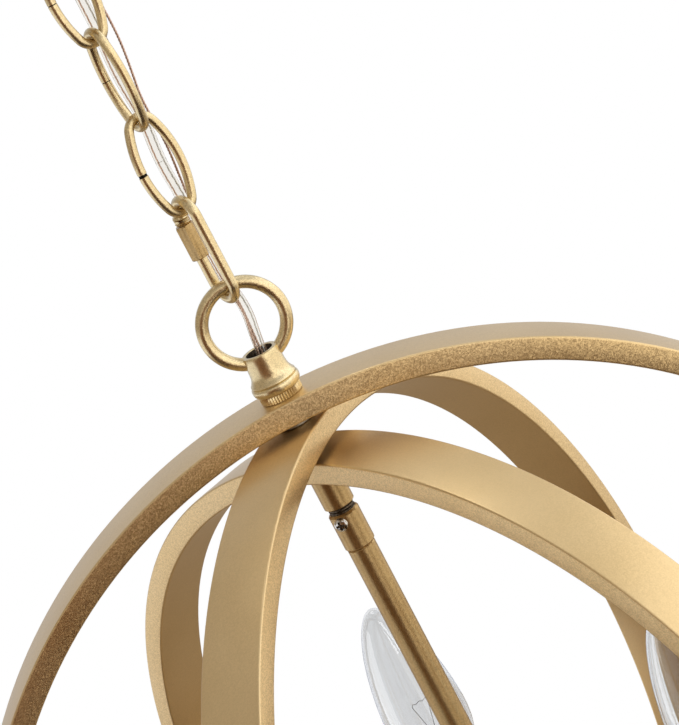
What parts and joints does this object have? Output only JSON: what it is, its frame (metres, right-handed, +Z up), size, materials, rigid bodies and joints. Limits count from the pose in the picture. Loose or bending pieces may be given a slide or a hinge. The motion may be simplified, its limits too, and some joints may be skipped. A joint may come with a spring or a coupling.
{
  "type": "hoop chandelier",
  "caption": "Globe chandelier of nested flat hoops round an upright stem with candle bulbs on curved arms, hung by a short chain from a round ceiling canopy.",
  "frame": {"origin": "middle of the outlet box slots on the ceiling plane, above the canopy's centre", "axes": "+Z up out of the ceiling plane; X along the crossbar and in the plane of the outer hoop; the picture looks from -Y"},
  "size_m": [0.4059, 0.3395, 0.6775],
  "materials": {
    "gold_hardware": "satin",
    "gold_band": "satin",
    "zinc_steel": "satin",
    "green_screw": "satin",
    "plated_screw": "polished",
    "clear_cord": "gloss",
    "bare_copper": "satin",
    "candle_sleeve": "satin",
    "lampholder": "gloss",
    "bulb_glass": "clear",
    "bulb_cap": "satin"
  },
  "bodies": {
    "ceiling_mount": {"crossbar": "zinc_steel", "crossbar_locknut": "zinc_steel", "ground_screw": "green_screw", "canopy": "gold_hardware", "canopy_nipple": "zinc_steel", "canopy_collar": "gold_hardware", "canopy_loop": "gold_hardware", "power_cord": "clear_cord", "ground_wire": "bare_copper"},
    "link_1": {"chain_link_1": "gold_hardware"},
    "link_2": {"chain_link_2": "gold_hardware"},
    "link_3": {"chain_link_3": "gold_hardware"},
    "quick_link": {"quick_link": "gold_hardware"},
    "quick_link_sleeve": {"quick_link_sleeve": "gold_hardware"},
    "lamp": {"lamp_loop": "gold_hardware", "lamp_collar": "gold_hardware", "top_nipple": "zinc_steel", "top_washers": "zinc_steel", "spacer": "gold_hardware", "coupler": "gold_hardware", "coupler_screw": "plated_screw", "stem": "gold_hardware", "hub": "gold_hardware", "hub_cap": "gold_hardware", "hub_nut": "zinc_steel", "tail_tube": "gold_hardware", "tail_nipple": "zinc_steel", "bottom_washers": "zinc_steel", "bottom_collar": "gold_hardware", "finial": "gold_hardware", "arm_1": "gold_hardware", "cup_1": "gold_hardware", "candle_1": "candle_sleeve", "socket_1": "lampholder", "arm_2": "gold_hardware", "cup_2": "gold_hardware", "candle_2": "candle_sleeve", "socket_2": "lampholder", "arm_3": "gold_hardware", "cup_3": "gold_hardware", "candle_3": "candle_sleeve", "socket_3": "lampholder"},
    "outer_hoop": {"outer_hoop": "gold_band"},
    "middle_hoop": {"middle_hoop": "gold_band"},
    "inner_hoop": {"inner_hoop": "gold_band"},
    "bulb_1": {"bulb_glass_1": "bulb_glass", "bulb_cap_1": "bulb_cap", "bulb_filament_1": "bulb_glass"},
    "bulb_2": {"bulb_glass_2": "bulb_glass", "bulb_cap_2": "bulb_cap", "bulb_filament_2": "bulb_glass"},
    "bulb_3": {"bulb_glass_3": "bulb_glass", "bulb_cap_3": "bulb_cap", "bulb_filament_3": "bulb_glass"}
  },
  "joints": [
    {"name": "link_1_swing", "type": "hinge", "parent": "ceiling_mount", "child": "link_1", "pos_m": [0, 0, -0.06885], "axis": [0.4067, -0.9135, 0], "range_deg": [-20, 20], "deforming": ["power_cord", "ground_wire"]},
    {"name": "link_2_swing", "type": "hinge", "parent": "link_1", "child": "link_2", "pos_m": [0, 0, -0.10185], "axis": [0.9135, 0.4067, 0], "range_deg": [-20, 20], "deforming": ["power_cord", "ground_wire"]},
    {"name": "link_3_swing", "type": "hinge", "parent": "link_2", "child": "link_3", "pos_m": [0, 0, -0.13555], "axis": [0.4067, -0.9135, 0], "range_deg": [-20, 20], "deforming": ["power_cord", "ground_wire"]},
    {"name": "quick_link_swing", "type": "hinge", "parent": "link_3", "child": "quick_link", "pos_m": [0, 0, -0.16925], "axis": [0.9135, 0.4067, 0], "range_deg": [-20, 20], "deforming": ["power_cord", "ground_wire"]},
    {"name": "lamp_swing", "type": "hinge", "parent": "quick_link", "child": "lamp", "pos_m": [0, 0, -0.2052], "axis": [0.4067, -0.9135, 0], "range_deg": [-20, 20], "deforming": ["power_cord", "ground_wire"]},
    {"name": "sleeve_unscrew", "type": "slide", "parent": "quick_link", "child": "quick_link_sleeve", "axis": [0, 0, -1], "range_m": [0, 0.0064]},
    {"name": "outer_hoop_turn", "type": "hinge", "parent": "lamp", "child": "outer_hoop", "pos_m": [0, 0, -0.4493], "axis": [0, 0, 1], "continuous": true},
    {"name": "middle_hoop_turn", "type": "hinge", "parent": "lamp", "child": "middle_hoop", "pos_m": [0, 0, -0.4493], "axis": [0, 0, 1], "continuous": true},
    {"name": "inner_hoop_turn", "type": "hinge", "parent": "lamp", "child": "inner_hoop", "pos_m": [0, 0, -0.4493], "axis": [0, 0, 1], "continuous": true},
    {"name": "bulb_1_lift", "type": "slide", "parent": "lamp", "child": "bulb_1", "axis": [0, 0, 1], "range_m": [0, 0.03]},
    {"name": "bulb_2_lift", "type": "slide", "parent": "lamp", "child": "bulb_2", "axis": [0, 0, 1], "range_m": [0, 0.03]},
    {"name": "bulb_3_lift", "type": "slide", "parent": "lamp", "child": "bulb_3", "axis": [0, 0, 1], "range_m": [0, 0.03]}
  ]
}
